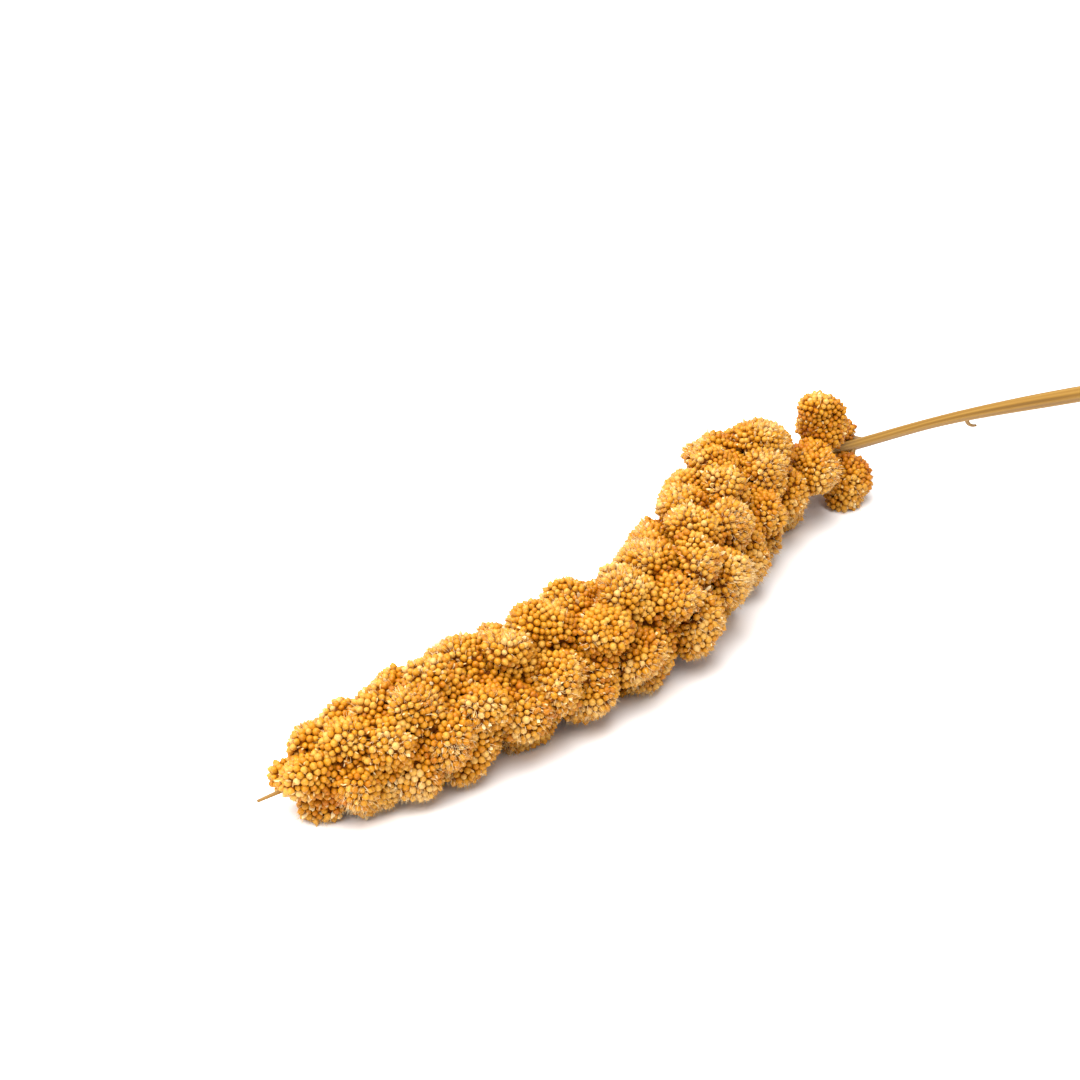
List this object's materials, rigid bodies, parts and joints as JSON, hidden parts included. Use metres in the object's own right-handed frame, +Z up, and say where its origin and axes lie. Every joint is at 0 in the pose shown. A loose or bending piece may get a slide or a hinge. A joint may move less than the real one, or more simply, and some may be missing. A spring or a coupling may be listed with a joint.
{
  "type": "millet seed head",
  "caption": "Dried golden millet seed head lying on its side: a dense, gently curved spike of lobed seed clusters with looser ones at its base, on a cut length of straw-coloured stem.",
  "frame": {"origin": "middle of the bounding box, on the surface the seed head lies on", "axes": "+X from the head's tip towards the stem's cut end, +Z up from the surface"},
  "size_m": [0.3292, 0.0692, 0.0322],
  "materials": {
    "grain": "dry seed with pale bristles, slightly glossy",
    "straw": "dry straw, satin"
  },
  "bodies": {
    "root": {"stem": "straw", "seed_head": "grain", "basal_cluster_1": "grain", "basal_cluster_2": "grain", "basal_cluster_3": "grain", "basal_cluster_4": "grain", "basal_cluster_5": "grain"}
  },
  "joints": []
}
